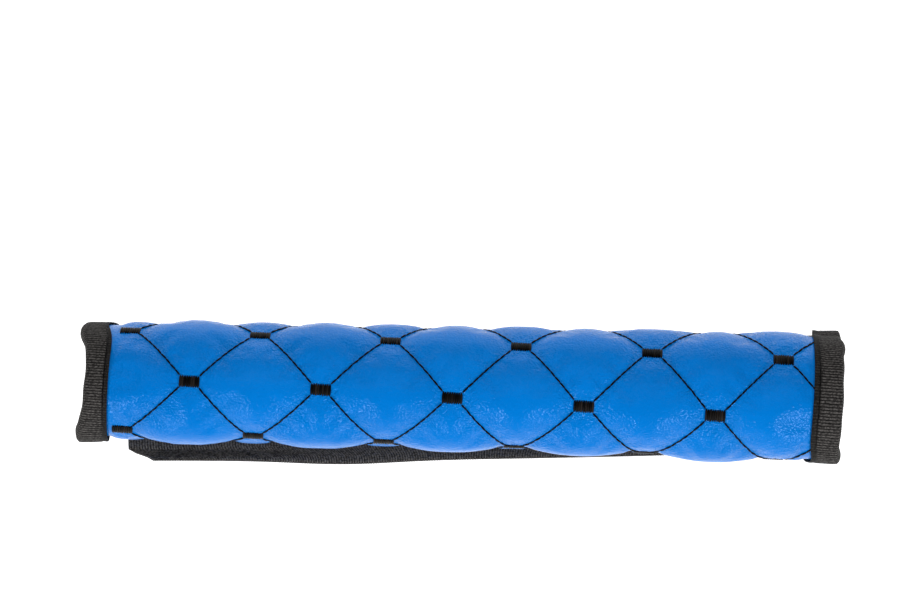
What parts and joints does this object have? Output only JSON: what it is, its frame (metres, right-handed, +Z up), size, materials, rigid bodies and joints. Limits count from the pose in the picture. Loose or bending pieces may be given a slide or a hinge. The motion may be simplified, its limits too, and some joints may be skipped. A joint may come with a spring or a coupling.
{
  "type": "seat belt shoulder pad",
  "caption": "Tube-shaped quilted leatherette pad that wraps a car seat belt at the shoulder, bound at both ends and closed underneath by a hook-and-loop flap.",
  "frame": {"origin": "middle of the pad's box, on the surface that it lies on", "axes": "+X along the belt channel, +Y to the rear, away from the flap's free edge, +Z up"},
  "size_m": [0.303, 0.0578, 0.0381],
  "materials": {
    "blue_leatherette": "fine-grained polyurethane leatherette, semi-matt",
    "foam": "open-cell foam sheet",
    "black_lining": "woven polyester lining",
    "ribbed_tape": "ribbed polyester binding tape",
    "hook_nylon": "moulded nylon hooks on tape",
    "loop_pile": "brushed nylon loop pile",
    "black_thread": "polyester embroidery thread"
  },
  "bodies": {
    "root": {"quilted_cover": "blue_leatherette", "foam_padding": "foam", "lining": "black_lining", "end_binding_left": "ribbed_tape", "end_binding_right": "ribbed_tape", "edge_binding_front": "ribbed_tape", "edge_binding_rear": "ribbed_tape", "closing_flap": "ribbed_tape", "hook_strip": "hook_nylon", "loop_strip": "loop_pile", "bar_tack_01": "black_thread", "bar_tack_02": "black_thread", "bar_tack_03": "black_thread", "bar_tack_04": "black_thread", "bar_tack_05": "black_thread", "bar_tack_06": "black_thread", "bar_tack_07": "black_thread", "bar_tack_08": "black_thread", "bar_tack_09": "black_thread", "bar_tack_10": "black_thread", "bar_tack_11": "black_thread", "bar_tack_12": "black_thread", "bar_tack_13": "black_thread", "bar_tack_14": "black_thread", "bar_tack_15": "black_thread", "bar_tack_16": "black_thread", "bar_tack_17": "black_thread", "bar_tack_18": "black_thread", "bar_tack_19": "black_thread", "bar_tack_20": "black_thread", "bar_tack_21": "black_thread", "bar_tack_22": "black_thread"}
  },
  "joints": []
}
